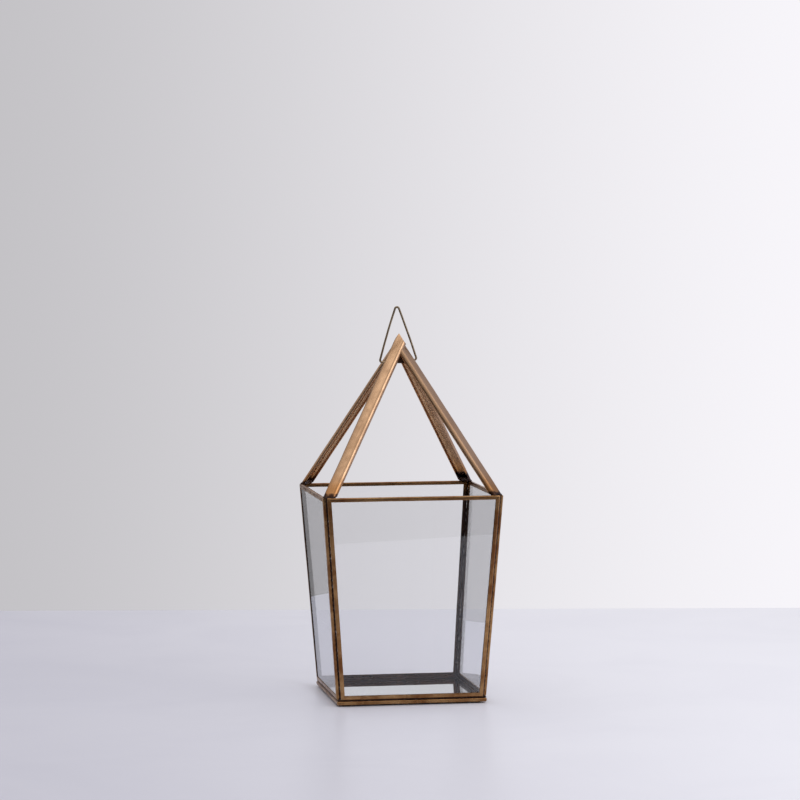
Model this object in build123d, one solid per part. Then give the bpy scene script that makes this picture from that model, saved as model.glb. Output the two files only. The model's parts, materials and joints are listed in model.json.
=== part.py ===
"""Open-topped brass and glass lantern house with a mirror floor and a wire hanging ring.

Four sloping panes edged in brass came stand on a mirror tray. Four brass channel
straps rise from the corners of the rim and meet in a peak, where a triangular wire
ring turns in the solder under the peak.

Millimetres. The origin is on the table under the middle of the object, +Z is up
and the front faces -Y.
"""
from build123d import *
import math
import os

# ---- the whole object --------------------------------------------------------------
BASE_WIDTH = 122.6          # across the mirror tray
RIM_WIDTH = 147.0           # across the outside of the rim
RIM_HEIGHT = 169.5          # table to the outer edge of the rim
PEAK_HEIGHT = 292.7         # where the outer faces of the four straps would meet

# ---- glass and came ----------------------------------------------------------------
GLASS = 2.0                 # thickness of each wall pane
MIRROR = 2.0                # thickness of the tray mirror
SHEET = 0.5                 # brass sheet that the came is folded from
GLASS_PLAY = 0.05           # slack between a pane and each side of its came
CAME_COVER = 3.2            # how far the came covers the face of a pane
PANE_EDGE_GAP = 0.3         # slack between the edge of a pane and the web of its came
CAME_BEND = 1.1             # outer radius of the folds of the came
TRAY_CORNER = 1.4           # rounding of the tray's corners in plan

# ---- joints between the frames -----------------------------------------------------
FOOT_GAP = 1.2              # table to the underside of the tray's came
SEAM_HEIGHT = 1.0           # solder between the tray and the walls
SEAM_RECESS = 0.7           # how far that solder lies back from the outer face
SEAM_DEPTH = 1.9            # how wide that solder is
CORNER_GAP = 0.1            # slack between neighbouring walls at their inner edges
CORNER_BEAD = 1.5           # size of the solder bead in each corner groove
SOLDER_BITE = 0.12          # extra taken before a bead is trimmed to the brass it joins

# ---- roof straps -------------------------------------------------------------------
STRAP_WIDTH = 11.4
STRAP_DEPTH = 3.6           # height of the strap's side flanges
STRAP_SHEET = 0.6
STRAP_BEND = 2.4            # outer radius of the strap's folds
STRAP_FOOT_GAP = 0.9        # solder between the rim and a strap's foot
STRAP_JOINT_GAP = 0.1       # slack between straps where they meet
STRAP_SOLDER = 2.2          # height of the solder inside each strap's foot
TIP_REACH = 6.3             # how far the front left strap runs on past the middle
TIP_OFFSET = 2.7            # how far its point lies off its centre line
TIP_LEFT_SHOULDER = 2.8     # where the cut to the point starts, left and right
TIP_RIGHT_SHOULDER = 1.5

# ---- hanging ring ------------------------------------------------------------------
WIRE = 1.7
RING_UNDER_GAP = 5.0        # middle of the ring's lower leg below the fork of the straps
RING_SIDE_GAP = 1.5         # middle of the ring's lower corners outside the straps
RING_HEIGHT = 45.2          # middle of the lower leg to the top of the ring
RING_TILT = 3.4             # degrees that the lower leg rises towards +X
RING_SHIFT = -0.6           # how far the ring has slid along its lower leg
RING_TOP_OFFSET = 1.7       # how far its top lies off the middle of the lower leg
RING_TOP_BEND = 1.7         # bend radii along the middle of the wire
RING_CORNER_BEND = 1.8
RING_CLEARANCE = 0.1        # slack all round the lower leg in the solder block
BLOCK_OVERLAP = 0.8         # solder block under the peak, past the flanges it holds
BLOCK_DEPTH = 12.0          # the block across the ring's lower leg
BLOCK_FLOOR = 0.5           # solder left under the ring's lower leg

# ---- felt feet ---------------------------------------------------------------------
FOOT_DIAMETER = 8.0
FOOT_EDGE_GAP = 1.0         # from the came's inner edge to the side of a foot

# ---- what follows from the sizes above ---------------------------------------------
WALL_THICK = GLASS + 2 * GLASS_PLAY + 2 * SHEET
TRAY_THICK = MIRROR + 2 * GLASS_PLAY + 2 * SHEET
TRAY_TOP = FOOT_GAP + TRAY_THICK
WALL_FOOT = TRAY_TOP + SEAM_HEIGHT
LEAN = math.atan2((RIM_WIDTH - BASE_WIDTH) / 2, RIM_HEIGHT - WALL_FOOT)
WALL_SLANT = math.hypot((RIM_WIDTH - BASE_WIDTH) / 2, RIM_HEIGHT - WALL_FOOT)
WALL_SETBACK = WALL_THICK / math.cos(LEAN) + CORNER_GAP
STRAP_FOOT = RIM_HEIGHT + WALL_THICK * math.sin(LEAN) + STRAP_FOOT_GAP
STRAP_REACH = RIM_WIDTH / math.sqrt(2) - STRAP_WIDTH / 2
STRAP_RISE = PEAK_HEIGHT - STRAP_FOOT
STRAP_LENGTH = math.hypot(STRAP_REACH, STRAP_RISE)
STRAP_PITCH = math.atan2(STRAP_RISE, STRAP_REACH)
FORK_DROP = (STRAP_WIDTH / 2 + STRAP_DEPTH / math.sin(STRAP_PITCH)) * math.tan(STRAP_PITCH)
RING_DROP = FORK_DROP + RING_UNDER_GAP
RING_LEG = PEAK_HEIGHT - RING_DROP
BLOCK_WIDTH = math.sqrt(2) * (STRAP_WIDTH - 2 * STRAP_SHEET) + 2 * BLOCK_OVERLAP
FAR = 2 * (RIM_WIDTH + PEAK_HEIGHT)     # longer than anything here

SIDES = ("front", "right", "rear", "left")
CORNERS = ("front_left", "front_right", "rear_right", "rear_left")
EDGES = ("bottom", "right", "top", "left")

parts = {}


def panel_corners(bottom_half, top_half, height, inset=0.0):
    """Corners of an upright trapezoid whose four edges are pulled in by inset."""
    flare = (top_half - bottom_half) / height
    side_inset = inset * math.hypot(1, flare)
    low, high = inset, height - inset
    low_half = bottom_half + flare * low - side_inset
    high_half = bottom_half + flare * high - side_inset
    return [(-low_half, low), (low_half, low), (high_half, high), (-high_half, high)]


def slab(corners, low, high):
    """Flat plate with the given outline, between two heights of its own Z."""
    outline = make_face(Polyline(*corners, close=True))
    return extrude(Pos(0, 0, low) * outline, amount=high - low)


def came_strips(outline, thick, glass, corner_round=0.0):
    """Four mitred channel strips round a pane. The outer face of the frame is at Z 0."""
    block = slab(panel_corners(*outline), -thick, 0)
    if corner_round:
        block = fillet(block.edges().filter_by(Axis.Z), corner_round)
    loops = block.faces().filter_by(Axis.Z).edges()
    block = fillet(loops, CAME_BEND)
    room = glass / 2 + GLASS_PLAY
    block -= slab(panel_corners(*outline, SHEET), -thick / 2 - room, -thick / 2 + room)
    outer = panel_corners(*outline)
    inner = panel_corners(*outline, CAME_COVER)
    strips = {}
    for i, edge in enumerate(EDGES):
        j = (i + 1) % 4
        share = slab([outer[i], outer[j], inner[j], inner[i]], -thick, 0)
        strips[edge] = block & share
    return strips


def pane(outline, thick, glass):
    """The glass that sits in those strips."""
    corners = panel_corners(*outline, SHEET + PANE_EDGE_GAP)
    return slab(corners, -thick / 2 - glass / 2, -thick / 2 + glass / 2)


def keep(name, shape):
    """Store one finished piece under its name."""
    parts[name] = shape


# ---- mirror tray -------------------------------------------------------------------
tray_half = BASE_WIDTH / 2
tray_outline = (tray_half, tray_half, BASE_WIDTH)
tray_place = Pos(0, -tray_half, TRAY_TOP)
tray_names = dict(zip(EDGES, ("front", "right", "rear", "left")))
for edge, strip in came_strips(tray_outline, TRAY_THICK, MIRROR, TRAY_CORNER).items():
    keep("tray_came_" + tray_names[edge], tray_place * strip)
keep("tray_mirror", tray_place * pane(tray_outline, TRAY_THICK, MIRROR))

# ---- felt feet under the mirror ----------------------------------------------------
foot_height = FOOT_GAP + SHEET + GLASS_PLAY
foot_place = tray_half - CAME_COVER - FOOT_EDGE_GAP - FOOT_DIAMETER / 2
for i, corner in enumerate(CORNERS):
    disc = Pos(-foot_place, -foot_place, 0) * Cylinder(
        FOOT_DIAMETER / 2, foot_height, align=(Align.CENTER, Align.CENTER, Align.MIN))
    keep("felt_foot_" + corner, Rot(0, 0, 90 * i) * disc)

# ---- walls -------------------------------------------------------------------------
wall_outline = (BASE_WIDTH / 2 - WALL_SETBACK, RIM_WIDTH / 2 - WALL_SETBACK, WALL_SLANT)
wall_plane = Plane(
    origin=(0, -BASE_WIDTH / 2, WALL_FOOT),
    x_dir=(1, 0, 0),
    z_dir=(0, -math.cos(LEAN), -math.sin(LEAN)))
front_strips = came_strips(wall_outline, WALL_THICK, GLASS)
front_pane = pane(wall_outline, WALL_THICK, GLASS)
for i, side in enumerate(SIDES):
    turn = Rot(0, 0, 90 * i)
    for edge, strip in front_strips.items():
        keep(f"{side}_came_{edge}", turn * (wall_plane * strip))
    keep(side + "_pane", turn * (wall_plane * front_pane))

# ---- solder between the tray and the walls -----------------------------------------
seam_half = BASE_WIDTH / 2 - SEAM_RECESS
seam_rise = SEAM_HEIGHT + WALL_THICK * math.sin(LEAN) + SOLDER_BITE
seam_outer = panel_corners(seam_half, seam_half, 2 * seam_half)
seam_inner = panel_corners(seam_half, seam_half, 2 * seam_half, SEAM_DEPTH)
seam_front = slab([seam_outer[0], seam_outer[1], seam_inner[1], seam_inner[0]], 0, seam_rise)
seam_front = Pos(0, -seam_half, TRAY_TOP) * seam_front
for edge in ("bottom", "left", "right"):
    seam_front -= parts["front_came_" + edge]
for i, side in enumerate(SIDES):
    keep("tray_solder_" + side, Rot(0, 0, 90 * i) * seam_front)


# ---- solder down each corner groove ------------------------------------------------
def groove_section(half_width, height):
    """Slice through the bead in the front left groove at one height."""
    inner = -(half_width - WALL_SETBACK)
    outline = Polyline(
        (inner + SOLDER_BITE, inner + SOLDER_BITE),
        (inner + SOLDER_BITE, inner - CORNER_BEAD),
        (inner, inner - CORNER_BEAD),
        (inner - CORNER_BEAD / 3, inner - CORNER_BEAD / 3),
        (inner - CORNER_BEAD, inner),
        (inner - CORNER_BEAD, inner + SOLDER_BITE),
        close=True)
    return Pos(0, 0, height) * make_face(outline)


bead = loft([groove_section(BASE_WIDTH / 2, WALL_FOOT), groove_section(RIM_WIDTH / 2, RIM_HEIGHT)],
            ruled=True)
for name in ("front_came_left", "left_came_right", "tray_solder_front", "tray_solder_left"):
    bead -= parts[name]
bead = bead.solids().sort_by(SortBy.VOLUME)[-1]
for i, corner in enumerate(CORNERS):
    keep("corner_solder_" + corner, Rot(0, 0, 90 * i) * bead)

# ---- roof straps -------------------------------------------------------------------
# The front left strap in its own plane: X across it, Y up it, Z out of its face,
# with its origin on the middle line of the object at the peak.
outward = math.sin(STRAP_PITCH) / math.sqrt(2)
strap_plane = Plane(
    origin=(0, 0, PEAK_HEIGHT),
    x_dir=(1, -1, 0),
    z_dir=(-outward, -outward, math.cos(STRAP_PITCH)))


def strap_bar(width, low, high, start, stop):
    """Straight bar along the strap's own plane."""
    return slab([(-width / 2, start), (width / 2, start), (width / 2, stop), (-width / 2, stop)],
                low, high)


def rounded_bar(inset, start, stop):
    """The strap's outer shape, or its hollow, with the folds rounded."""
    bar = strap_bar(STRAP_WIDTH - 2 * inset, -STRAP_DEPTH, -inset, start, stop)
    return fillet(bar.edges().filter_by(Axis.Y).group_by(Axis.Z)[-1], STRAP_BEND - inset)


strap_start = -STRAP_LENGTH - STRAP_DEPTH * 2
channel = (rounded_bar(0, strap_start, TIP_REACH)
           - rounded_bar(STRAP_SHEET, strap_start, TIP_REACH))
above_rim = Pos(0, 0, STRAP_FOOT) * Box(
    FAR, FAR, FAR, align=(Align.CENTER, Align.CENTER, Align.MIN))
strap = (strap_plane * channel) & above_rim

half = STRAP_WIDTH / 2
point = slab([(-half, strap_start), (half, strap_start), (half, -TIP_RIGHT_SHOULDER),
              (-TIP_OFFSET, TIP_REACH), (-half, -TIP_LEFT_SHOULDER)], -STRAP_DEPTH, 0)
keep("roof_strap_front_left", strap & (strap_plane * point))

first_strap = strap_plane * strap_bar(
    STRAP_WIDTH + 2 * STRAP_JOINT_GAP, -STRAP_DEPTH - STRAP_JOINT_GAP, FAR, strap_start, FAR)
corner_space = Pos(-STRAP_JOINT_GAP / 2, -STRAP_JOINT_GAP / 2, 0) * Box(
    FAR, FAR, FAR, align=(Align.MAX, Align.MAX, Align.CENTER))
mitred = strap & corner_space
for i, corner in enumerate(CORNERS):
    if i:
        keep("roof_strap_" + corner, (Rot(0, 0, 90 * i) * mitred) - first_strap)

# ---- solder in the foot of each strap ----------------------------------------------
def level_slice(low, high):
    """Everything between two heights."""
    return Pos(0, 0, low) * Box(
        FAR, FAR, high - low, align=(Align.CENTER, Align.CENTER, Align.MIN))


foot_inside = strap_plane * rounded_bar(STRAP_SHEET, strap_start, 0)
bead_reach = (RIM_WIDTH / 2 - WALL_SETBACK + CORNER_BEAD / 2) * math.sqrt(2)
bead_offset = (bead_reach - STRAP_REACH) * math.sin(STRAP_PITCH)
foot_under = strap_plane * (
    rounded_bar(0, strap_start, 0)
    + strap_bar(2 * CORNER_BEAD, -STRAP_DEPTH, bead_offset, strap_start, 0))
foot_fill = foot_under & level_slice(RIM_HEIGHT - SOLDER_BITE, STRAP_FOOT)
foot_fill += foot_inside & level_slice(RIM_HEIGHT - SOLDER_BITE, STRAP_FOOT + STRAP_SOLDER)
for name in ("front_came_left", "front_came_top", "left_came_right", "left_came_top",
             "corner_solder_front_left"):
    foot_fill -= parts[name]
foot_fill = foot_fill.solids().sort_by(SortBy.VOLUME)[-1]
for i, corner in enumerate(CORNERS):
    keep("strap_solder_" + corner, Rot(0, 0, 90 * i) * foot_fill)

# ---- solder block under the peak, with the hole that the ring turns in -------------
block_low = RING_LEG - WIRE / 2 - RING_CLEARANCE - BLOCK_FLOOR
inner_peak = PEAK_HEIGHT - STRAP_DEPTH / math.cos(STRAP_PITCH)
block_half = (inner_peak - block_low) / math.tan(STRAP_PITCH)
spike = loft([Pos(0, 0, block_low) * Rot(0, 0, 45) * Rectangle(2 * block_half, 2 * block_half),
              Vertex(0, 0, inner_peak)], ruled=True)
block = spike & (Pos(0, 0, block_low) * Box(
    BLOCK_WIDTH, BLOCK_DEPTH, FAR, align=(Align.CENTER, Align.CENTER, Align.MIN)))
ring_place = Pos(0, 0, RING_LEG) * Rot(0, -RING_TILT, 0)
ring_hole = ring_place * Rot(0, 90, 0) * Cylinder(WIRE / 2 + RING_CLEARANCE, FAR)
keep("peak_solder", block - ring_hole)

# ---- hanging ring ------------------------------------------------------------------
strap_corner = (RING_DROP / math.tan(STRAP_PITCH) + STRAP_WIDTH / 2) / math.sqrt(2)
ring_half = strap_corner + RING_SIDE_GAP
bend_centre = RING_HEIGHT - WIRE / 2 - RING_TOP_BEND


def leg_slope(reach):
    """Sideways run per height of a leg that ends in the ring's top bend."""
    turn = math.asin(RING_TOP_BEND / math.hypot(reach, bend_centre))
    return math.tan(math.atan2(reach, bend_centre) - turn)


left_slope = leg_slope(ring_half + RING_TOP_OFFSET)
right_slope = leg_slope(ring_half - RING_TOP_OFFSET)
apex_height = 2 * ring_half / (left_slope + right_slope)
triangle = make_face(Polyline(
    (-ring_half, 0), (ring_half, 0), (left_slope * apex_height - ring_half, apex_height),
    close=True))
triangle = fillet(triangle.vertices().group_by(Axis.Y)[0], RING_CORNER_BEND)
triangle = fillet(triangle.vertices().group_by(Axis.Y)[-1], RING_TOP_BEND)
ring_path = (Plane.XZ * triangle).wire()
ring = sweep(Plane(origin=ring_path @ 0, z_dir=ring_path % 0) * Circle(WIRE / 2), path=ring_path)
keep("hanging_ring", ring_place * Pos(RING_SHIFT, 0, 0) * ring)

# ---- write every piece -------------------------------------------------------------
os.makedirs("parts", exist_ok=True)
for name, shape in parts.items():
    export_step(shape, f"parts/{name}.step")
print(len(parts), "parts written")
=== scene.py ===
"""Brass and glass lantern house: the finished look built around its fixed CAD frame."""

import json
import math

import bmesh
import bpy
from mathutils import Matrix, Vector, noise


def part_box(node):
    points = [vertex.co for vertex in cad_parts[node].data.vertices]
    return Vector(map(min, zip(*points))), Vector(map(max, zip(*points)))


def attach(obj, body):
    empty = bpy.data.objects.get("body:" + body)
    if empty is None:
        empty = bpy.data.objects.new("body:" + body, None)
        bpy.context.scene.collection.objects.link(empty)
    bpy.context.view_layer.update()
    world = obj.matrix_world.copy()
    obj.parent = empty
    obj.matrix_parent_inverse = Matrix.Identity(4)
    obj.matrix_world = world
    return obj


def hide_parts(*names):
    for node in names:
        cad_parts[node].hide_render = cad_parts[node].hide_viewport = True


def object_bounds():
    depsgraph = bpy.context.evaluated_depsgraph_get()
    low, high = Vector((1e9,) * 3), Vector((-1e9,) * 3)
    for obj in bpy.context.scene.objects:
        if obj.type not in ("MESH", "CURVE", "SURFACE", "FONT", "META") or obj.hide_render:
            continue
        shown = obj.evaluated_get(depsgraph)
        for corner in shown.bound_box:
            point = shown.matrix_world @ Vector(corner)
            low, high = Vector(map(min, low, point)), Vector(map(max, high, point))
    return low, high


bl_info = {
    "name": "Brass and Glass Lantern",
    "version": (1, 0, 0),
    "blender": (4, 5, 0),
    "location": "3D View > Sidebar > Lantern",
    "description": "Builds a soldered brass and glass lantern house on its fixed frame",
    "category": "Object",
}

MM = 0.001
MERGE = 1e-6                # vertices closer than this are one
STRAP_CUT = 1.1 * MM        # spacing of the lengthwise cuts that let a strap be crowned
SLOW_FIELD = 22 * MM        # size of the slow wander of handmade brass
FINE_FIELD = 3.5 * MM       # size of its small dents
WIRE_FIELD = 12 * MM        # size of the wander of the bent wire
LEG_TRUE = 0.004            # the ring stays true this far above its lower leg
INNER_SHADE_FADE = 0.008          # height over which the painted shade on the inner faces of the came sets in
GOLD_TOP = 0.024            # golden tint above a strap's foot: where it ends above the foot
GOLD_FULL = 0.007           # and where it is full
FOOT_LINE_TOP = 0.0065           # dark line at a strap's foot: where it ends
FOOT_LINE_FULL = 0.0042          # and where it is full
FOOT_RAGGED = 0.007         # how uneven the edges of both are
REAR_RIGHT_RISE = 0.008          # how much higher they reach on the rear right strap
SILVER_SOUND = 0.002        # mirror silver is sound up to this far inside the edge
SILVER_GONE = 0.004         # and dull from this far outside it
SILVER_RAGGED = 0.008       # how uneven that edge is
FELT_RINGS = (0.35, 0.6, 0.9, 1.1)  # ring widths in mm that let a felt face be uneven
FELT_FIELD = 0.7 * MM       # size of the felt's unevenness
FELT_PUSH = 0.05            # its height in mm
HAND_SEED = 5               # fixes the wander of the metal, so each run gives the same
WIRE_ROUND = 20             # vertices round the wire
LEG_STEPS = 12              # steps along half of the lower leg
SIDE_STEPS = 24             # steps along a side of the ring
CORNER_STEPS = 10
TOP_STEPS = 16
TABLE_THICK = 0.03
TABLE_EDGE = 0.002          # rounding of the table's edges
TABLE_SHADE_FADE = 0.45           # half the width over which the table's painted shade turns into painted light
TABLE_CLOUD = (0.5, 0.5, 0.56)
MIRROR_DUST = (0.6, 0.58, 0.56)
KEY_SIZE = 1.3
TOP_SIZE = 1.6
AIM = Vector((0, 0, 0.15))  # what the lamps are aimed at
CAMERA_PLACE = (-0.45242, -2.75793, 0.41330)
SENSOR_WIDTH = 36.0
SIDES = ("front", "right", "rear", "left")
CORNERS = ("front_left", "front_right", "rear_right", "rear_left")
EDGES = ("bottom", "right", "top", "left")

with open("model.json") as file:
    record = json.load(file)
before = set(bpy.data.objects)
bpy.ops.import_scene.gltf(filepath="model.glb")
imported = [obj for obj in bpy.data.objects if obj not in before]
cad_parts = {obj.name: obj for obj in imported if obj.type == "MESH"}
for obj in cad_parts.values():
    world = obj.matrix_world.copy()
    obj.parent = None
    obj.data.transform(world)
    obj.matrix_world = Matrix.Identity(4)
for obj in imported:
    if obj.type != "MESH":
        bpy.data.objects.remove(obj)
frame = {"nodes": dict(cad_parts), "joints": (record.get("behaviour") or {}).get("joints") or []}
CAD_LOW, CAD_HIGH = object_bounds()
RING_JOINT = next(j for j in frame["joints"] if j["name"] == "ring_swing")


# ---- settings ----------------------------------------------------------------------
def length(name, description, millimetres):
    """A length in metres with its default given in millimetres."""
    return bpy.props.FloatProperty(
        name=name, description=description, default=millimetres * MM,
        unit="LENGTH", min=0.0, precision=5)


def colour(name, description, red, green, blue):
    """A colour of a finish, in linear light."""
    return bpy.props.FloatVectorProperty(
        name=name, description=description, default=(red, green, blue),
        subtype="COLOR", size=3, min=0.0, max=1.0)


class LanternMetal(bpy.types.PropertyGroup):
    """Sizes and colours of the brass, the solder and the wire."""

    station: length("Station", "Distance between cross cuts along a strip", 3.0)
    soft_edge: length("Soft edge", "Rounding of cut edges of the sheet", 0.12)
    wave: length("Wave", "How far the folded strips wander from true", 0.10)
    ripple: length("Ripple", "Small dents left by the folding pliers", 0.025)
    solder_voxel: length("Solder grain", "Cell size used to melt a bead into a lump", 0.3)
    solder_lump: length("Solder lumps", "Height of the lumps along a solder bead", 0.22)
    wire: length("Wire", "Thickness of the ring's wire", 1.7)
    ring_corner: length("Ring corner", "Bend at the ring's lower corners", 1.8)
    ring_top: length("Ring top", "Bend at the top of the ring", 1.7)
    ring_bow: length("Ring bow", "How far the ring's legs bow outwards", 0.3)
    crown: length(
        "Crown", "How far the sides of a roof strap fall below its middle", 0.45)
    came_clean: colour("Came brass", "Rubbed brass of the came", 0.50, 0.29, 0.125)
    came_dull: colour("Came patina", "Brown patina of the came", 0.21, 0.082, 0.028)
    strap_clean: colour(
        "Strap brass", "Rubbed brass of the roof straps", 0.60, 0.375, 0.215)
    strap_dull: colour(
        "Strap patina", "Brown patina of the roof straps", 0.44, 0.262, 0.145)
    # Golden tone given to the roof straps just above their feet.
    strap_gold: colour(
        "Heated brass", "Golden tone where a strap was heated", 0.44, 0.20, 0.065)
    # This colour is also used for the painted shade on the inner faces of the came and for the
    # dark line at a strap's foot.
    oxide_and_shade: colour("Oxide", "Dark oxide in the corners of the metal", 0.030, 0.015, 0.015)
    wire_clean: colour("Wire brass", "Rubbed wire of the ring", 0.44, 0.33, 0.20)
    wire_dull: colour("Wire patina", "Dull wire of the ring", 0.20, 0.145, 0.09)
    solder_bright: colour("Solder", "Worn high spots of the solder", 0.10, 0.045, 0.022)
    solder_dark: colour("Solder patina", "Blackened solder", 0.022, 0.012, 0.010)


class LanternGlass(bpy.types.PropertyGroup):
    """Sizes and colours of the panes, the mirror and the felt feet."""

    arris: length("Arris", "Small chamfer ground on the edges of the glass", 0.25)
    pane_tint: colour("Pane tint", "Tint of the wall panes", 0.965, 0.967, 0.975)
    mirror_tint: colour("Mirror tint", "Tint of the mirror floor", 0.80, 0.83, 0.815)
    mirror_worn: colour(
        "Mirror edge", "Darkened silver near the mirror's edge", 0.32, 0.30, 0.29)
    felt_light: colour("Felt light", "Raised fibres of the felt feet", 0.075, 0.062, 0.060)
    felt_dark: colour("Felt dark", "Ground of the felt feet", 0.022, 0.018, 0.018)


class LanternStage(bpy.types.PropertyGroup):
    """The table, the light and the camera."""

    table_half: bpy.props.FloatProperty(
        name="Table", description="Half the width of the table top",
        default=0.575, unit="LENGTH")
    # Painted shade and painted light: the table top is darker on its left and paler on its
    # right, as light falls from the right.
    table_painted_shade: colour("Table, left", "Table top away from the window", 0.57, 0.57, 0.64)
    table_painted_light: colour("Table, right", "Table top towards the window", 0.92, 0.925, 0.98)
    backdrop: colour("Backdrop", "Pale room behind the object", 0.759, 0.745, 0.776)
    cool_side: colour("Cool side", "Window light reflected from the right", 0.72, 0.76, 0.98)
    key_watts: bpy.props.FloatProperty(
        name="Key light", description="Power of the large soft light", default=12.0)
    fill_watts: bpy.props.FloatProperty(
        name="Top light", description="Power of the soft light overhead", default=6.0)
    azimuth: bpy.props.FloatProperty(
        name="Azimuth", description="Which way the camera looks, from +Y towards +X",
        default=math.radians(9.345), subtype="ANGLE")
    pitch: bpy.props.FloatProperty(
        name="Pitch", description="How far the camera looks down",
        default=math.radians(3.488), subtype="ANGLE")
    roll: bpy.props.FloatProperty(
        name="Roll", description="How far the camera leans to its right",
        default=math.radians(0.21), subtype="ANGLE")
    lens: bpy.props.FloatProperty(
        name="Lens", description="Focal length in millimetres", default=153.65)


# ---- shaping -----------------------------------------------------------------------
def joined_copy(node):
    """A bmesh of a CAD node with its loose triangles joined."""
    bm = bmesh.new()
    bm.from_mesh(frame["nodes"][node].data)
    bmesh.ops.remove_doubles(bm, verts=bm.verts, dist=MERGE)
    return bm


def whole_faces(bm):
    """Make one face of the triangles that lie in one plane."""
    bmesh.ops.dissolve_limit(
        bm, angle_limit=math.radians(0.4), verts=bm.verts, edges=bm.edges,
        delimit={"NORMAL"})


def soften(bm, width, sharper_than=50.0):
    """Round the cut edges of the sheet."""
    limit = math.radians(sharper_than)
    sharp = [e for e in bm.edges if e.is_manifold and e.calc_face_angle(0.0) > limit]
    bmesh.ops.bevel(
        bm, geom=sharp, offset=width, offset_type="OFFSET", segments=2, profile=0.5,
        affect="EDGES", material=-1, clamp_overlap=True)


def cross_cuts(bm, along, spacing):
    """Cut rings round a long piece so that it can wander a little."""
    reach = [v.co.dot(along) for v in bm.verts]
    low, high = min(reach), max(reach)
    count = max(2, round((high - low) / spacing))
    for i in range(1, count):
        at = low + (high - low) * i / count
        bmesh.ops.bisect_plane(
            bm, geom=bm.verts[:] + bm.edges[:] + bm.faces[:], dist=1e-7,
            plane_co=along * at, plane_no=along)


def longest_axis(bm):
    """Direction between the two vertices that lie furthest apart."""
    middle = sum((v.co for v in bm.verts), Vector()) / len(bm.verts)
    far = max(bm.verts, key=lambda v: (v.co - middle).length).co
    other = max(bm.verts, key=lambda v: (v.co - far).length).co
    return (far - other).normalized()


def work_by_hand(bm, wave, ripple):
    """Shift every point by one slow and one fine field shared by all the pieces."""
    for v in bm.verts:
        slow = noise.noise_vector(v.co / SLOW_FIELD)
        fine = noise.noise_vector(v.co / FINE_FIELD + Vector((7.0, 3.0, 5.0)))
        v.co += slow * wave + fine * ripple


def lump(bm, height, scale):
    """Raise lumps along the normals, as solder sets."""
    bm.normal_update()
    moves = []
    for v in bm.verts:
        big = noise.noise(v.co / scale)
        small = noise.noise(v.co / (scale * 0.35) + Vector((11.0, 2.0, 9.0)))
        moves.append(v.normal * height * (big * 0.8 + small * 0.35))
    for v, move in zip(bm.verts, moves):
        v.co += move


def stay_inside(bm):
    """Keep every point in the box of the CAD model."""
    for v in bm.verts:
        v.co = Vector(min(max(c, lo), hi) for c, lo, hi in zip(v.co, CAD_LOW, CAD_HIGH))


def note_grain(bm, along, across):
    """Store how far each point lies along and across its strip, for the brushing."""
    layer = bm.verts.layers.float_vector.new("grain")
    normal = along.cross(across)
    for v in bm.verts:
        v[layer] = Vector((v.co.dot(along), v.co.dot(across), v.co.dot(normal)))


def finish_piece(bm, name, node, material, body="lantern", crease=38.0):
    """Turn a bmesh into a finished piece that stands for its CAD node."""
    stay_inside(bm)
    bm.normal_update()
    limit = math.radians(crease)
    for f in bm.faces:
        f.smooth = True
    for e in bm.edges:
        e.smooth = not e.is_manifold or e.calc_face_angle(0.0) < limit
    mesh = bpy.data.meshes.new(name)
    bm.to_mesh(mesh)
    bm.free()
    piece = bpy.data.objects.new(name, mesh)
    bpy.context.scene.collection.objects.link(piece)
    mesh.materials.append(material)
    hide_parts(node)
    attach(piece, body)
    return piece


def flat_normals(piece):
    """Let the large faces set the shading, so that flats stay flat beside soft edges."""
    weighted = piece.modifiers.new("flat faces first", "WEIGHTED_NORMAL")
    weighted.keep_sharp = True
    weighted.weight = 60
    return piece


def melted(node, voxel, rounds=3):
    """A bmesh of a CAD bead melted into one rounded lump."""
    bm = joined_copy(node)
    mesh = bpy.data.meshes.new("melt")
    bm.to_mesh(mesh)
    bm.free()
    holder = bpy.data.objects.new("melt", mesh)
    bpy.context.scene.collection.objects.link(holder)
    remesh = holder.modifiers.new("melt", "REMESH")
    remesh.mode = "VOXEL"
    remesh.voxel_size = voxel
    remesh.adaptivity = 0.0
    graph = bpy.context.evaluated_depsgraph_get()
    bm = bmesh.new()
    bm.from_mesh(bpy.data.meshes.new_from_object(holder.evaluated_get(graph)))
    bpy.data.objects.remove(holder)
    for _ in range(rounds):
        bmesh.ops.smooth_vert(
            bm, verts=bm.verts, factor=0.5, use_axis_x=True, use_axis_y=True,
            use_axis_z=True)
    return bm


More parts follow.
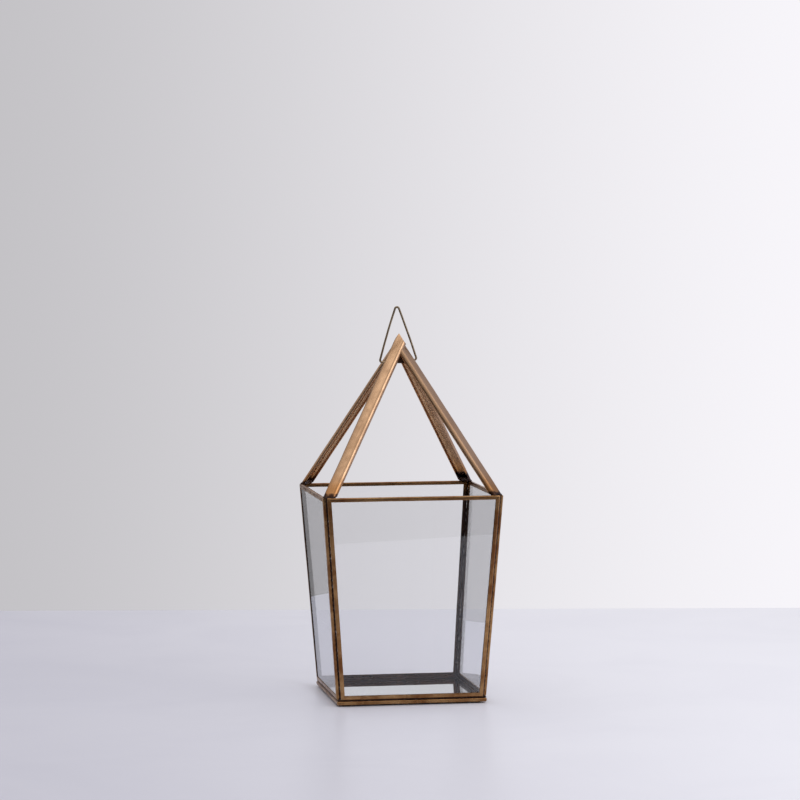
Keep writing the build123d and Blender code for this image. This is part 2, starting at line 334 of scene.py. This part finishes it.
# ---- materials ---------------------------------------------------------------------
class Finish:
    """A node material built one node at a time."""

    def __init__(self, name):
        self.material = bpy.data.materials.new(name)
        self.material.use_nodes = True
        self.tree = self.material.node_tree
        self.shader = self.tree.nodes["Principled BSDF"]
        self.output = self.tree.nodes["Material Output"]

    def node(self, kind, **inputs):
        """Add a node; inputs are numbers, colours or sockets, by name or number."""
        made = self.tree.nodes.new("ShaderNode" + kind)
        settings = inputs.pop("settings", {})
        for key, value in settings.items():
            setattr(made, key, value)
        for key, value in inputs.items():
            socket = made.inputs[int(key[1:]) if key[0] == "_" else key.replace("_", " ")]
            if isinstance(value, bpy.types.NodeSocket):
                self.tree.links.new(value, socket)
            else:
                socket.default_value = value
        return made

    def set(self, **inputs):
        """Set or link inputs of the shader."""
        for key, value in inputs.items():
            socket = self.shader.inputs[key.replace("_", " ")]
            if isinstance(value, bpy.types.NodeSocket):
                self.tree.links.new(value, socket)
            else:
                socket.default_value = value

    def object_point(self):
        """Object coordinates."""
        return self.node("TexCoord").outputs["Object"]

    def grain_point(self, along, across):
        """The piece's own grain coordinates, stretched along the strip."""
        grain = self.node("Attribute", settings={"attribute_name": "grain"})
        return self.node(
            "Mapping", Vector=grain.outputs["Vector"],
            Scale=(along, across, across)).outputs[0]

    def cloud(self, point, scale, detail=4.0, roughness=0.55, distortion=0.0):
        """A noise value."""
        return self.node(
            "TexNoise", Vector=point, Scale=scale, Detail=detail, Roughness=roughness,
            Distortion=distortion).outputs["Fac"]

    def span(self, value, low, high, to_low=0.0, to_high=1.0):
        """Stretch a value between two limits, smoothly."""
        return self.node(
            "MapRange", settings={"interpolation_type": "SMOOTHSTEP"}, Value=value,
            From_Min=low, From_Max=high, To_Min=to_low, To_Max=to_high).outputs[0]

    def sum(self, operation, first, second):
        """One step of arithmetic."""
        return self.node("Math", settings={"operation": operation}, _0=first, _1=second
                         ).outputs[0]

    def blend(self, share, first, second, mode="MIX"):
        """Mix two colours."""
        colours = [c if isinstance(c, bpy.types.NodeSocket) else (*c, 1.0)
                   for c in (first, second)]
        return self.node(
            "Mix", settings={"data_type": "RGBA", "blend_type": mode}, _0=share,
            _6=colours[0], _7=colours[1]).outputs[2]

    def bump(self, height, strength, distance):
        """Surface relief in metres."""
        return self.node(
            "Bump", Height=height, Strength=strength, Distance=distance).outputs[0]


def patina_metal(name, clean, dull, oxide_and_shade, rough, mottle=0.16, speckle=0.3, brushed=1.0,
                 dullness=0.5, relief=0.18, recess=0.6, shade_inner_below=None):
    """Rubbed metal with brown patina, brushing along its grain, specks and edge wear, and, when
    a height is given, painted shade on its inner faces below it.
    """
    f = Finish(name)
    point = f.object_point()
    grain = f.grain_point(18.0, 1100.0)
    broad = f.cloud(point, 34.0, 4.0, 0.55, 0.4)
    patch = f.cloud(point, 150.0, 4.0, 0.55, 0.3)
    speck = f.cloud(point, 1300.0, 3.0, 0.6)
    hair = f.cloud(grain, 1.0, 3.0, 0.6)
    tarnish = f.sum("ADD", f.sum("MULTIPLY", broad, 0.65), f.sum("MULTIPLY", patch, 0.35))
    worn = f.node("NewGeometry").outputs["Pointiness"]
    ridge = f.span(worn, 0.515, 0.60)
    valley = f.span(worn, 0.485, 0.42)
    body = f.blend(f.span(tarnish, dullness - mottle, dullness + mottle), clean, dull)
    body = f.blend(f.span(hair, 0.30, 0.72, 0.0, 0.28 * brushed), body, dull)
    body = f.blend(f.span(speck, 0.62, 0.80, 0.0, speckle), body, oxide_and_shade)
    body = f.blend(f.sum("MULTIPLY", ridge, 0.55), body, clean)
    body = f.blend(f.sum("MULTIPLY", valley, recess), body, oxide_and_shade)
    # Painted shade: faces that look inwards are darkened towards the oxide colour below a
    # height.
    if shade_inner_below is not None:
        body = f.blend(f.sum("MULTIPLY", inward_shade_mask(f, point), f.span(
            f.node("SeparateXYZ", Vector=point).outputs["Z"],
            shade_inner_below, shade_inner_below - INNER_SHADE_FADE, 0.15, 0.88)), body, oxide_and_shade)
    shine = f.sum("ADD", f.span(patch, 0.3, 0.75, rough - 0.05, rough + 0.08),
                  f.span(hair, 0.3, 0.7, -0.03, 0.05))
    shine = f.sum("ADD", shine, f.sum("MULTIPLY", valley, 0.2))
    height = f.sum("ADD", f.sum("MULTIPLY", hair, 0.5 * brushed),
                   f.sum("ADD", patch, f.sum("MULTIPLY", speck, 0.3)))
    f.set(Base_Color=body, Metallic=1.0, Roughness=shine,
          Normal=f.bump(height, relief, 0.0001))
    return f


def inward_shade_mask(f, point):
    """One where a face looks towards the upright middle line of the object: the mask of the
    painted shade on inner faces.
    """
    flat = f.node("VectorMath", settings={"operation": "MULTIPLY"},
                  _0=point, _1=(1.0, 1.0, 0.0)).outputs[0]
    way = f.node("VectorMath", settings={"operation": "NORMALIZE"}, _0=flat).outputs[0]
    facing = f.node("VectorMath", settings={"operation": "DOT_PRODUCT"}, _0=way,
                    _1=f.node("NewGeometry").outputs["Normal"]).outputs["Value"]
    return f.span(facing, -0.1, -0.45)


def tinted_foot(f, golden, oxide_and_shade, foot, rear_right):
    """Golden tint above the foot of a strap and a ragged dark line at the foot, both higher
    towards the rear right.
    """
    point = f.object_point()
    split = f.node("SeparateXYZ", Vector=point)
    ragged = f.sum("ADD", split.outputs["Z"],
                   f.sum("MULTIPLY", f.cloud(point, 260.0, 4.0), FOOT_RAGGED))
    diagonal = f.sum("ADD", split.outputs["X"], split.outputs["Y"])
    rear_right_lift = f.span(diagonal, rear_right * 0.7, rear_right, 0.0, REAR_RIGHT_RISE)
    above = f.sum("SUBTRACT", ragged, rear_right_lift)
    body = f.shader.inputs["Base Color"].links[0].from_socket
    gold = f.span(above, foot + GOLD_TOP, foot + GOLD_FULL, 0.0, 0.85)
    foot_line = f.span(above, foot + FOOT_LINE_TOP, foot + FOOT_LINE_FULL, 0.0, 0.92)
    body = f.blend(gold, body, golden)
    body = f.blend(foot_line, body, oxide_and_shade)
    f.set(Base_Color=body)


def solder_finish(name, bright, dark):
    """Blackened lumpy solder with rubbed high spots."""
    f = Finish(name)
    point = f.object_point()
    lumps = f.cloud(point, 320.0, 5.0, 0.6, 0.6)
    grit = f.cloud(point, 2400.0, 4.0, 0.65)
    worn = f.node("NewGeometry").outputs["Pointiness"]
    high = f.span(worn, 0.50, 0.60)
    body = f.blend(f.span(lumps, 0.42, 0.68, 0.0, 0.6), dark, bright)
    body = f.blend(f.sum("MULTIPLY", high, 0.6), body, bright)
    body = f.blend(f.span(grit, 0.52, 0.75, 0.0, 0.6), body, dark)
    f.set(Base_Color=body, Metallic=0.85,
          Roughness=f.span(grit, 0.3, 0.7, 0.34, 0.62),
          Normal=f.bump(f.sum("ADD", lumps, f.sum("MULTIPLY", grit, 0.4)), 0.5, 0.00025))
    return f.material


def pane_finish(name, tint):
    """Clear, slightly uneven sheet glass that lets lamp light and matt light through."""
    f = Finish(name)
    point = f.object_point()
    pull = f.cloud(point, 24.0, 2.0, 0.5)
    f.set(Base_Color=(*tint, 1.0), Roughness=0.0, IOR=1.5, Transmission_Weight=1.0,
          Normal=f.bump(pull, 0.02, 0.0002))
    path = f.node("LightPath")
    unlit = f.sum("MAXIMUM", path.outputs["Is Shadow Ray"], path.outputs["Is Diffuse Ray"])
    clear = f.node("BsdfTransparent", Color=(*tint, 1.0))
    mixed = f.node("MixShader", _0=unlit, _1=f.shader.outputs[0], _2=clear.outputs[0])
    f.tree.links.new(mixed.outputs[0], f.output.inputs["Surface"])
    return f.material


def mirror_finish(name, tint, worn, half):
    """Silvered glass that darkens in blots towards its edge."""
    f = Finish(name)
    point = f.object_point()
    split = f.node("SeparateXYZ", Vector=point)
    reach = f.sum("MAXIMUM", f.sum("ABSOLUTE", split.outputs["X"], 0.0),
                  f.sum("ABSOLUTE", split.outputs["Y"], 0.0))
    blots = f.cloud(point, 160.0, 6.0, 0.65, 0.5)
    ragged = f.sum("ADD", reach, f.sum("MULTIPLY", blots, SILVER_RAGGED))
    edge = f.span(ragged, half - SILVER_SOUND, half + SILVER_GONE)
    dust = f.cloud(point, 1900.0, 2.0)
    body = f.blend(f.sum("MULTIPLY", edge, 0.75), tint, worn)
    body = f.blend(f.span(dust, 0.66, 0.8, 0.0, 0.12), body, MIRROR_DUST)
    f.set(Base_Color=body, Metallic=1.0,
          Roughness=f.sum("ADD", f.span(blots, 0.35, 0.8, 0.015, 0.05),
                          f.sum("MULTIPLY", edge, 0.12)),
          Normal=f.bump(f.cloud(point, 30.0, 2.0), 0.02, 0.0002))
    return f.material


def felt_finish(name, light, dark):
    """Pressed black felt."""
    f = Finish(name)
    point = f.object_point()
    fibre = f.cloud(point, 2600.0, 6.0, 0.75, 1.2)
    mat = f.cloud(point, 520.0, 3.0)
    body = f.blend(f.span(fibre, 0.35, 0.7), dark, light)
    body = f.blend(f.span(mat, 0.4, 0.7, 0.0, 0.4), body, dark)
    f.set(Base_Color=body, Roughness=f.span(fibre, 0.3, 0.7, 0.85, 1.0),
          Sheen_Weight=0.35, Normal=f.bump(fibre, 0.9, 0.0003))
    return f.material


def came_brass(metal, name, shade_inner_below):
    """Finish of the folded came, with painted shade on its inner faces below a height."""
    return patina_metal(
        name, metal.came_clean, metal.came_dull, metal.oxide_and_shade, 0.28, dullness=0.50,
        mottle=0.14, speckle=0.3, shade_inner_below=shade_inner_below).material


# ---- operators ---------------------------------------------------------------------
class LANTERN_OT_stage(bpy.types.Operator):
    """Set the table, the soft light and the camera"""

    bl_idname = "lantern.stage"
    bl_label = "Stage"

    def execute(self, context):
        stage = context.scene.lantern_stage
        look = Vector((math.sin(stage.azimuth), math.cos(stage.azimuth), 0.0))
        side = Vector((look.y, -look.x, 0.0))
        self.table(stage)
        self.room(stage, look, side)
        key_place = side * 1.4 - look * 1.0 + Vector((0, 0, 1.15))
        top_place = look * 0.3 - side * 0.4 + Vector((0, 0, 1.9))
        self.lamp("key_light", key_place, KEY_SIZE, stage.key_watts)
        self.lamp("top_light", top_place, TOP_SIZE, stage.fill_watts)
        camera_data = bpy.data.cameras.new("camera")
        camera_data.sensor_width = SENSOR_WIDTH
        camera_data.lens = stage.lens
        camera = bpy.data.objects.new("camera", camera_data)
        camera.location = CAMERA_PLACE
        camera.rotation_euler = (math.pi / 2 - stage.pitch, stage.roll, -stage.azimuth)
        context.scene.collection.objects.link(camera)
        context.scene.camera = camera
        context.scene.view_settings.view_transform = "Standard"
        return {"FINISHED"}

    def table(self, stage):
        """A thick pale slab whose top is the ground, coloured darker towards its left as painted
        shade.
        """
        bm = bmesh.new()
        bmesh.ops.create_cube(bm, size=2.0)
        half = stage.table_half
        bmesh.ops.scale(bm, verts=bm.verts, vec=(half, half, TABLE_THICK / 2))
        bmesh.ops.rotate(
            bm, verts=bm.verts, matrix=Matrix.Rotation(-stage.azimuth, 3, "Z"))
        bmesh.ops.translate(bm, verts=bm.verts, vec=(0, 0, -TABLE_THICK / 2))
        bmesh.ops.bevel(
            bm, geom=bm.edges[:], offset=TABLE_EDGE, offset_type="OFFSET", segments=3,
            profile=0.5, affect="EDGES", material=-1)
        mesh = bpy.data.meshes.new("table_top")
        bm.to_mesh(mesh)
        bm.free()
        top = bpy.data.objects.new("table_top", mesh)
        bpy.context.scene.collection.objects.link(top)
        f = Finish("polished_table")
        point = f.object_point()
        cloud = f.cloud(point, 5.0, 5.0, 0.55, 0.8)
        # Painted shade: the colour darkens from right to left across the table, standing in for
        # the light from the right.
        rightward = f.node("SeparateXYZ", Vector=point).outputs["X"]
        pale = f.blend(f.span(rightward, -TABLE_SHADE_FADE, TABLE_SHADE_FADE), stage.table_painted_shade,
                       stage.table_painted_light)
        pale = f.blend(f.span(cloud, 0.35, 0.7, 0.0, 0.06), pale, TABLE_CLOUD)
        f.set(Base_Color=pale, Roughness=f.span(cloud, 0.3, 0.7, 0.32, 0.40), IOR=1.4,
              Specular_IOR_Level=0.3)
        mesh.materials.append(f.material)

    def room(self, stage, look, side):
        """A pale room with one level to be seen, one for matt surfaces, one reflected.

        The seen level grows from left to right. The reflected room is bright behind and
        above, dark by the camera and grey behind on the left. Its directions are fixed
        to the front view, so it stays put when the camera moves.
        """
        world = bpy.data.worlds.new("room")
        bpy.context.scene.world = world
        world.use_nodes = True
        # Sampling the world would use the level that is meant for another kind of ray.
        world.cycles.sampling_method = "NONE"
        tree = world.node_tree
        background = tree.nodes["Background"]
        direction = tree.nodes.new("ShaderNodeTexCoord").outputs["Generated"]

        def along(axis):
            dot = tree.nodes.new("ShaderNodeVectorMath")
            dot.operation = "DOT_PRODUCT"
            tree.links.new(direction, dot.inputs[0])
            dot.inputs[1].default_value = axis
            return dot.outputs["Value"]

        def span(value, low, high, to_low, to_high):
            made = tree.nodes.new("ShaderNodeMapRange")
            made.interpolation_type = "SMOOTHSTEP"
            for socket, number in zip(made.inputs[1:5], (low, high, to_low, to_high)):
                if isinstance(number, bpy.types.NodeSocket):
                    tree.links.new(number, socket)
                else:
                    socket.default_value = number
            tree.links.new(value, made.inputs[0])
            return made.outputs[0]

        forward, rightward = along(look), along(side)
        upward = along(Vector((0, 0, 1)))
        # The reflected room: dark by the camera, lit by the window far to the right.
        shiny = span(forward, 0.15, -0.30, 0.95, 0.04)
        shiny = span(rightward, 0.45, 0.80, shiny, 0.85)
        # A grey part behind on the left.
        shade = span(rightward, -0.17, -0.27, 1.0, 0.38)
        shade = span(rightward, -0.45, -0.70, shade, 0.8)
        shade = span(forward, 0.2, 0.5, 1.0, shade)
        shiny = self.multiply(tree, shiny, shade)
        # An even wall higher up, then a bright ceiling.
        shiny = span(upward, 0.20, 0.42, shiny, 0.56)
        shiny = span(upward, 0.58, 0.80, shiny, 0.95)
        # The light that matt surfaces get, and the level that is seen.
        soft = span(forward, -0.25, 0.75, 0.55, 1.0)
        soft = span(upward, 0.25, 0.85, soft, 1.05)
        backdrop = span(rightward, -0.16, 0.16, 0.70, 1.26)
        path = tree.nodes.new("ShaderNodeLightPath")
        level = span(path.outputs["Diffuse Depth"], 0.0, 1.0, backdrop, soft)
        mirrored = span(path.outputs["Glossy Depth"], 0.0, 1.0, 0.0, 1.0)
        level = span(mirrored, 0.0, 1.0, level, shiny)
        cool = span(rightward, 0.25, 0.70, 0.0, mirrored)
        colour = tree.nodes.new("ShaderNodeMix")
        colour.data_type = "RGBA"
        tree.links.new(cool, colour.inputs[0])
        colour.inputs[6].default_value = (*stage.backdrop, 1.0)
        colour.inputs[7].default_value = (*stage.cool_side, 1.0)
        tree.links.new(colour.outputs[2], background.inputs["Color"])
        tree.links.new(level, background.inputs["Strength"])

    def multiply(self, tree, first, second):
        """Product of two sockets."""
        product = tree.nodes.new("ShaderNodeMath")
        product.operation = "MULTIPLY"
        tree.links.new(first, product.inputs[0])
        tree.links.new(second, product.inputs[1])
        return product.outputs[0]

    def lamp(self, name, place, size, watts):
        """A square soft light aimed at the middle of the object."""
        data = bpy.data.lights.new(name, "AREA")
        data.size = size
        data.energy = watts
        lamp = bpy.data.objects.new(name, data)
        lamp.location = place
        lamp.rotation_euler = (
            AIM - place).to_track_quat("-Z", "Y").to_euler()
        bpy.context.scene.collection.objects.link(lamp)


def build_strip(metal, name, node, material):
    """One folded strip with soft cut edges, worked by hand."""
    bm = joined_copy(node)
    whole_faces(bm)
    along = longest_axis(bm)
    soften(bm, metal.soft_edge)
    cross_cuts(bm, along, metal.station)
    across = along.cross(Vector((0.3, 0.5, 0.81))).normalized()
    note_grain(bm, along, across)
    work_by_hand(bm, metal.wave, metal.ripple)
    return flat_normals(finish_piece(bm, name, node, material))


class LANTERN_OT_wall_came(bpy.types.Operator):
    """Build the brass came round the four wall panes"""

    bl_idname = "lantern.wall_came"
    bl_label = "Wall came"

    def execute(self, context):
        metal = context.scene.lantern_metal
        brass = came_brass(metal, "came_brass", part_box("front_came_top")[0].z)
        for side in SIDES:
            for edge in EDGES:
                build_strip(metal, f"wall_came_{side}_{edge}", f"{side}_came_{edge}",
                            brass)
        return {"FINISHED"}


class LANTERN_OT_tray_came(bpy.types.Operator):
    """Build the brass came round the mirror floor"""

    bl_idname = "lantern.tray_came"
    bl_label = "Tray came"

    def execute(self, context):
        metal = context.scene.lantern_metal
        brass = came_brass(metal, "tray_brass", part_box("front_came_top")[0].z)
        for side in SIDES:
            build_strip(metal, f"edge_came_{side}", f"tray_came_{side}", brass)
        return {"FINISHED"}


class LANTERN_OT_straps(bpy.types.Operator):
    """Build the four channel straps of the roof"""

    bl_idname = "lantern.straps"
    bl_label = "Roof straps"

    def execute(self, context):
        metal = context.scene.lantern_metal
        low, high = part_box("roof_strap_rear_right")
        brass = patina_metal(
            "strap_brass", metal.strap_clean, metal.strap_dull, metal.oxide_and_shade, 0.34,
            mottle=0.2, speckle=0.12, dullness=0.54, relief=0.07, recess=0.1)
        tinted_foot(brass, metal.strap_gold, metal.oxide_and_shade, low.z, high.x + high.y)
        for corner in CORNERS:
            low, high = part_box(f"roof_strap_{corner}")
            out = Vector((high.x + low.x, high.y + low.y, 0.0)).normalized()
            bm = joined_copy(f"roof_strap_{corner}")
            whole_faces(bm)
            across = out.cross(Vector((0, 0, 1)))
            along = longest_axis(bm)
            along = (along - across * along.dot(across)).normalized()
            soften(bm, metal.soft_edge)
            cross_cuts(bm, along, metal.station)
            cross_cuts(bm, across, STRAP_CUT)
            half = max(abs(v.co.dot(across)) for v in bm.verts)
            normal = along.cross(across)
            if normal.z < 0:
                normal = -normal
            for v in bm.verts:
                v.co -= normal * metal.crown * (v.co.dot(across) / half) ** 2
            note_grain(bm, along, across)
            work_by_hand(bm, metal.wave, metal.ripple)
            finish_piece(bm, f"strap_{corner}", f"roof_strap_{corner}", brass.material)
        return {"FINISHED"}


class LANTERN_OT_solder(bpy.types.Operator):
    """Build the solder in the grooves, under the walls and in the feet of the straps"""

    bl_idname = "lantern.solder"
    bl_label = "Solder"

    def execute(self, context):
        metal = context.scene.lantern_metal
        dark = solder_finish("old_solder", metal.solder_bright, metal.solder_dark)
        jobs = [(f"groove_solder_{c}", f"corner_solder_{c}", 2.6) for c in CORNERS]
        jobs += [(f"foot_solder_{c}", f"strap_solder_{c}", 1.8) for c in CORNERS]
        jobs += [(f"seam_solder_{s}", f"tray_solder_{s}", 2.4) for s in SIDES]
        for name, node, scale in jobs:
            bm = melted(node, metal.solder_voxel)
            lump(bm, metal.solder_lump, scale * MM)
            work_by_hand(bm, metal.wave, metal.ripple)
            finish_piece(bm, name, node, dark, crease=180.0)
        return {"FINISHED"}


class LANTERN_OT_peak_solder(bpy.types.Operator):
    """Build the solder block that the ring turns in"""

    bl_idname = "lantern.peak_solder"
    bl_label = "Peak solder"

    def execute(self, context):
        metal = context.scene.lantern_metal
        dark = solder_finish("peak_solder", metal.solder_bright, metal.solder_dark)
        bm = joined_copy("peak_solder")
        soften(bm, 0.25 * MM, 40.0)
        finish_piece(bm, "peak_block", "peak_solder", dark)
        return {"FINISHED"}


class LANTERN_OT_ring(bpy.types.Operator):
    """Bend the wire hanging ring"""

    bl_idname = "lantern.ring"
    bl_label = "Hanging ring"

    def execute(self, context):
        metal = context.scene.lantern_metal
        place = Vector(RING_JOINT["pos_m"])
        leg = Vector(RING_JOINT["axis"]).normalized()
        up = leg.cross(Vector((0, 1, 0))).normalized()
        if up.z < 0:
            up = -up
        points = [v.co - place for v in frame["nodes"]["hanging_ring"].data.vertices]
        radius, corner, tight = metal.wire / 2, metal.ring_corner, metal.ring_top
        right = max(p.dot(leg) for p in points) - radius - corner
        left = min(p.dot(leg) for p in points) + radius + corner
        highest = max(points, key=lambda p: p.dot(up))
        top = Vector((highest.dot(leg), 0, highest.dot(up) - radius - tight))
        turn_right = self.lean(top.x - right, top.z - corner, corner, tight)
        turn_left = self.lean(left - top.x, top.z - corner, corner, tight)
        out_right = Vector((math.cos(turn_right), 0, math.sin(turn_right)))
        out_left = Vector((-math.cos(turn_left), 0, math.sin(turn_left)))
        right_bend = Vector((right, 0, corner))
        left_bend = Vector((left, 0, corner))

        bm = bmesh.new()
        made = bmesh.ops.create_circle(
            bm, cap_ends=False, segments=WIRE_ROUND, radius=radius,
            matrix=Matrix.Rotation(math.pi / 2, 4, "Y"))
        rim = list({e for v in made["verts"] for e in v.link_edges})
        rim = self.straight(bm, rim, Vector((right, 0, 0)), LEG_STEPS)
        rim = self.bend(bm, rim, right_bend, turn_right + math.pi / 2, CORNER_STEPS)
        climb = top + out_right * tight - right_bend - out_right * corner
        rim = self.straight(bm, rim, climb, SIDE_STEPS, out_right * metal.ring_bow)
        rim = self.bend(bm, rim, top, math.pi - turn_right - turn_left, TOP_STEPS)
        fall = left_bend + out_left * corner - top - out_left * tight
        rim = self.straight(bm, rim, fall, SIDE_STEPS, out_left * metal.ring_bow)
        rim = self.bend(bm, rim, left_bend, turn_left + math.pi / 2, CORNER_STEPS)
        self.straight(bm, rim, Vector((-left, 0, 0)), LEG_STEPS)
        bmesh.ops.remove_doubles(bm, verts=bm.verts, dist=MERGE)
        bmesh.ops.recalc_face_normals(bm, faces=bm.faces)
        for v in bm.verts:
            if v.co.z > LEG_TRUE:
                v.co += noise.noise_vector(v.co / WIRE_FIELD) * metal.wave * 1.2
        turn_up = Matrix((leg, up.cross(leg), up)).transposed().to_4x4()
        bmesh.ops.transform(bm, matrix=Matrix.Translation(place) @ turn_up, verts=bm.verts)
        note_grain(bm, up, leg)
        wire = patina_metal(
            "ring_wire", metal.wire_clean, metal.wire_dull, metal.oxide_and_shade, 0.34,
            dullness=0.50, brushed=0.0, speckle=0.08, recess=0.2)
        finish_piece(
            bm, "wire_ring", "hanging_ring", wire.material, "ring", 180.0)
        return {"FINISHED"}

    def lean(self, run, rise, low_bend, top_bend):
        """Angle of the outward side of a leg that touches both of its bends."""
        return math.atan2(rise, run) - math.acos(
            (low_bend - top_bend) / math.hypot(run, rise))

    def straight(self, bm, rim, move, steps, bow=Vector()):
        """Draw the wire on in a number of steps, bowed sideways in between."""
        for i in range(steps):
            made = bmesh.ops.extrude_edge_only(bm, edges=rim)["geom"]
            verts = [g for g in made if isinstance(g, bmesh.types.BMVert)]
            swell = math.sin(math.pi * (i + 1) / steps) - math.sin(math.pi * i / steps)
            bmesh.ops.translate(bm, verts=verts, vec=move / steps + bow * swell)
            ring = set(verts)
            rim = [g for g in made if isinstance(g, bmesh.types.BMEdge)
                   and g.verts[0] in ring and g.verts[1] in ring]
        return rim

    def bend(self, bm, rim, centre, angle, steps):
        """Bend the wire round a centre, upwards from its present direction."""
        made = bmesh.ops.spin(
            bm, geom=rim, cent=centre, axis=(0, -1, 0), angle=angle, steps=steps,
            dvec=(0, 0, 0), use_merge=False, use_duplicate=False)["geom_last"]
        return [g for g in made if isinstance(g, bmesh.types.BMEdge)]


class LANTERN_OT_panes(bpy.types.Operator):
    """Build the four wall panes"""

    bl_idname = "lantern.panes"
    bl_label = "Wall panes"

    def execute(self, context):
        glass = context.scene.lantern_glass
        clear = pane_finish("clear_pane", glass.pane_tint)
        for side in SIDES:
            bm = joined_copy(f"{side}_pane")
            whole_faces(bm)
            soften(bm, glass.arris)
            finish_piece(bm, f"glass_{side}", f"{side}_pane", clear, crease=10.0)
        return {"FINISHED"}


class LANTERN_OT_mirror(bpy.types.Operator):
    """Build the mirror floor"""

    bl_idname = "lantern.mirror"
    bl_label = "Mirror floor"

    def execute(self, context):
        glass = context.scene.lantern_glass
        low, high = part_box("tray_mirror")
        bm = bmesh.new()
        bmesh.ops.create_cube(bm, size=1.0)
        bmesh.ops.scale(bm, verts=bm.verts, vec=high - low)
        bmesh.ops.translate(bm, verts=bm.verts, vec=(low + high) / 2)
        soften(bm, glass.arris)
        silver = mirror_finish(
            "mirror_floor", glass.mirror_tint, glass.mirror_worn, high.x)
        finish_piece(bm, "floor_mirror", "tray_mirror", silver, crease=10.0)
        return {"FINISHED"}


class LANTERN_OT_feet(bpy.types.Operator):
    """Build the felt feet"""

    bl_idname = "lantern.feet"
    bl_label = "Felt feet"

    def execute(self, context):
        glass = context.scene.lantern_glass
        felt = felt_finish("black_felt", glass.felt_light, glass.felt_dark)
        for corner in CORNERS:
            node = f"felt_foot_{corner}"
            low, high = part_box(node)
            radius = (high.x - low.x) / 2
            bm = bmesh.new()
            bmesh.ops.create_cone(
                bm, cap_ends=True, segments=40, radius1=radius, radius2=radius,
                depth=high.z - low.z,
                matrix=Matrix.Translation((low + high) / 2))
            rims = [e for e in bm.edges if abs(e.verts[0].co.z - e.verts[1].co.z) < 1e-7]
            bmesh.ops.bevel(
                bm, geom=rims, offset=0.25 * MM, offset_type="OFFSET", segments=3,
                profile=0.5, affect="EDGES", material=-1)
            caps = [f for f in bm.faces if len(f.verts) > 4]
            for width in FELT_RINGS:
                bmesh.ops.inset_region(
                    bm, faces=caps, thickness=width * MM, use_even_offset=True)
            for v in bm.verts:
                push = noise.noise_vector(v.co / FELT_FIELD) * FELT_PUSH * MM
                at_end = min(v.co.z - low.z, high.z - v.co.z) < 0.01 * MM
                v.co += Vector((push.x, push.y, 0.0 if at_end else push.z))
            finish_piece(bm, f"felt_pad_{corner}", node, felt)
        return {"FINISHED"}


class LANTERN_PT_panel(bpy.types.Panel):
    """Lists the pieces of the lantern and their settings"""

    bl_idname = "LANTERN_PT_panel"
    bl_label = "Lantern"
    bl_space_type = "VIEW_3D"
    bl_region_type = "UI"
    bl_category = "Lantern"

    def draw(self, context):
        layout = self.layout
        for operator in PIECES:
            layout.operator(operator.bl_idname)
        for group in ("lantern_metal", "lantern_glass", "lantern_stage"):
            settings = getattr(context.scene, group)
            box = layout.box()
            for key in settings.__annotations__:
                box.prop(settings, key)


PIECES = (
    LANTERN_OT_stage,
    LANTERN_OT_tray_came,
    LANTERN_OT_wall_came,
    LANTERN_OT_panes,
    LANTERN_OT_mirror,
    LANTERN_OT_feet,
    LANTERN_OT_solder,
    LANTERN_OT_straps,
    LANTERN_OT_peak_solder,
    LANTERN_OT_ring,
)
GROUPS = (LanternMetal, LanternGlass, LanternStage)


def register():
    for group in GROUPS:
        bpy.utils.register_class(group)
    bpy.types.Scene.lantern_metal = bpy.props.PointerProperty(type=LanternMetal)
    bpy.types.Scene.lantern_glass = bpy.props.PointerProperty(type=LanternGlass)
    bpy.types.Scene.lantern_stage = bpy.props.PointerProperty(type=LanternStage)
    for operator in PIECES:
        bpy.utils.register_class(operator)
    bpy.utils.register_class(LANTERN_PT_panel)


def unregister():
    bpy.utils.unregister_class(LANTERN_PT_panel)
    for operator in reversed(PIECES):
        bpy.utils.unregister_class(operator)
    del bpy.types.Scene.lantern_stage
    del bpy.types.Scene.lantern_glass
    del bpy.types.Scene.lantern_metal
    for group in reversed(GROUPS):
        bpy.utils.unregister_class(group)


def main():
    noise.seed_set(HAND_SEED)
    register()
    for operator in PIECES:
        area, name = operator.bl_idname.split(".")
        getattr(getattr(bpy.ops, area), name)()


if __name__ == "__main__":
    main()
